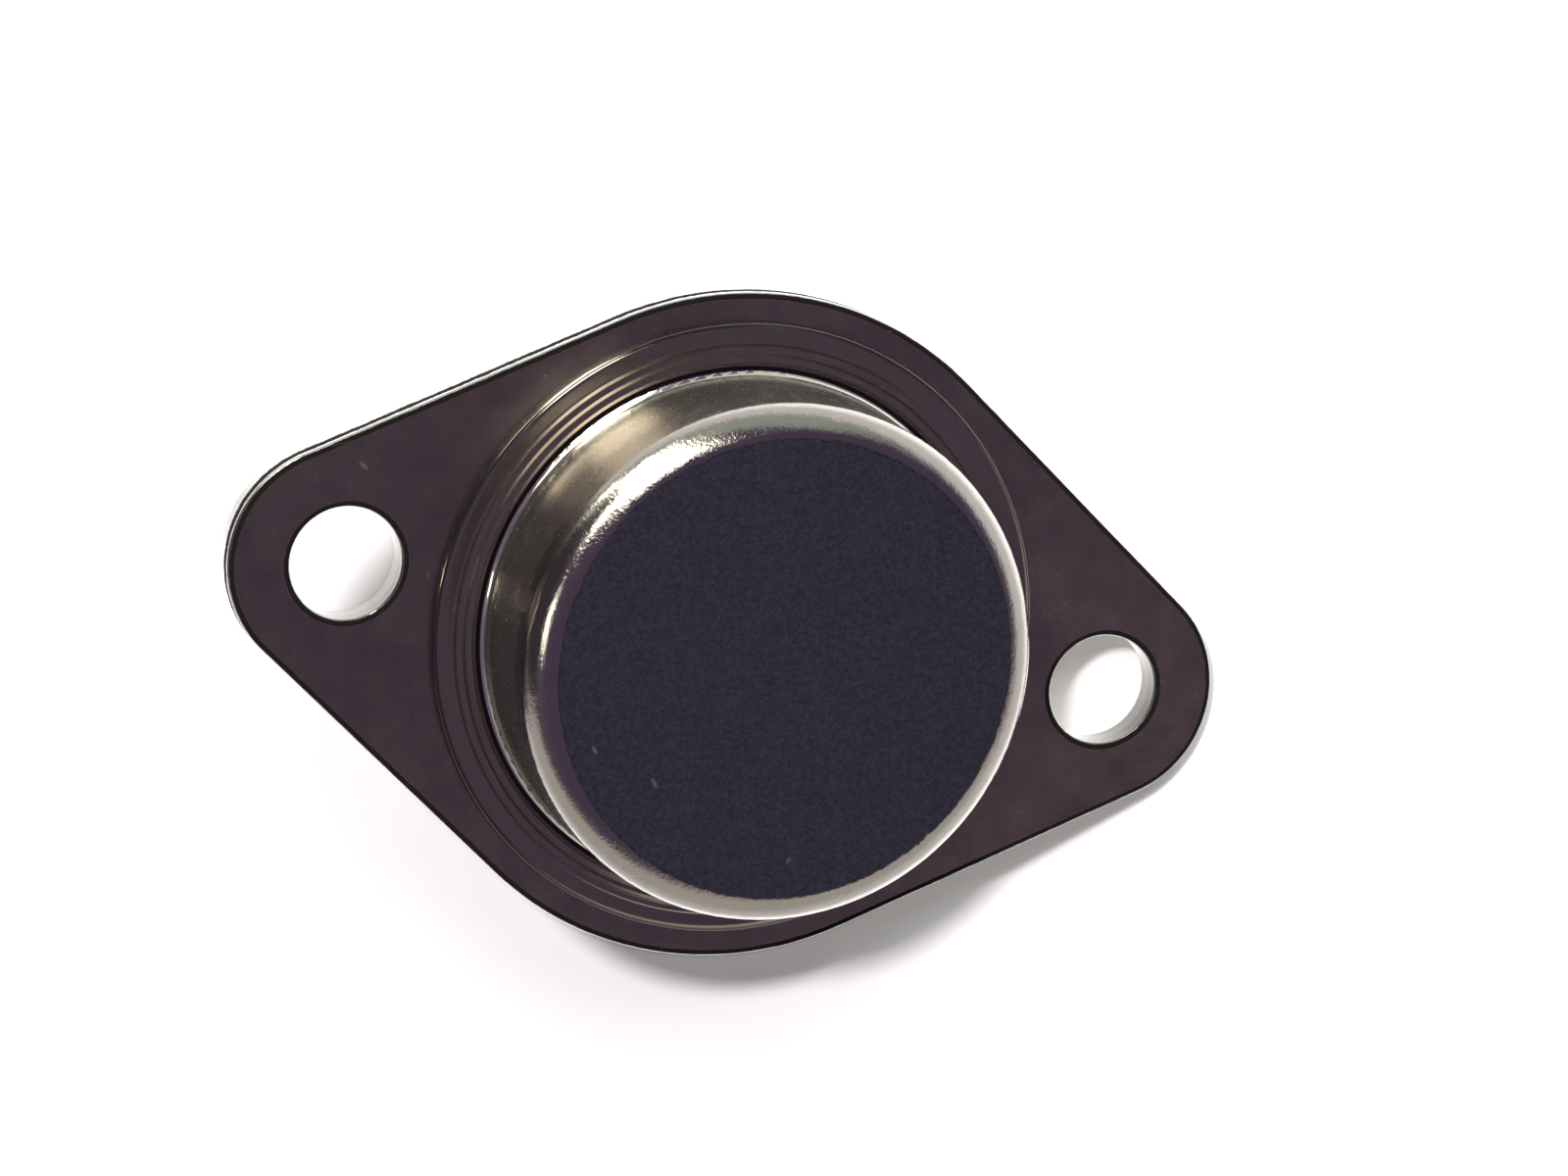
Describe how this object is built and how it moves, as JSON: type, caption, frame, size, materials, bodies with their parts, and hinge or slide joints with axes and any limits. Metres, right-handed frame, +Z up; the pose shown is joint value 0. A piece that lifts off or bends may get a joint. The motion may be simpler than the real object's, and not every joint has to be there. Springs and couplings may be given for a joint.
{
  "type": "power transistor",
  "caption": "Power transistor in a round drawn metal can, welded to a diamond-shaped steel flange with a screw hole at each end and round leads below.",
  "frame": {"origin": "centre of the two-hole pattern, on the flange's seating face", "axes": "+Z up through the can, away from the seating face; +X along the line of the screw holes, toward the hole that the leads stand nearer to; +Y across the flange, toward the base lead"},
  "size_m": [0.039, 0.0252, 0.0201],
  "materials": {
    "flange_plating": "satin nickel plate on stamped steel, darkened on the flat and brighter along its rolled edges",
    "cap_plating": "nickel plate on drawn steel, fine matt grain on the top and bright on the rounded edge",
    "lead_plating": "plated nickel-iron wire",
    "seal_glass": "dark fused sealing glass",
    "braze": "thin braze layer",
    "spreader_copper": "plain copper",
    "die_solder": "dull soft solder",
    "silicon": "polished silicon with aluminium contacts",
    "bond_wire": "drawn aluminium wire"
  },
  "bodies": {
    "root": {"header_flange": "flange_plating", "cap": "cap_plating", "emitter_lead": "lead_plating", "base_lead": "lead_plating", "emitter_seal": "seal_glass", "base_seal": "seal_glass", "spreader_braze": "braze", "heat_spreader": "spreader_copper", "die_solder": "die_solder", "silicon_die": "silicon", "emitter_wire_1": "bond_wire", "emitter_wire_2": "bond_wire", "base_wire": "bond_wire"}
  },
  "joints": []
}
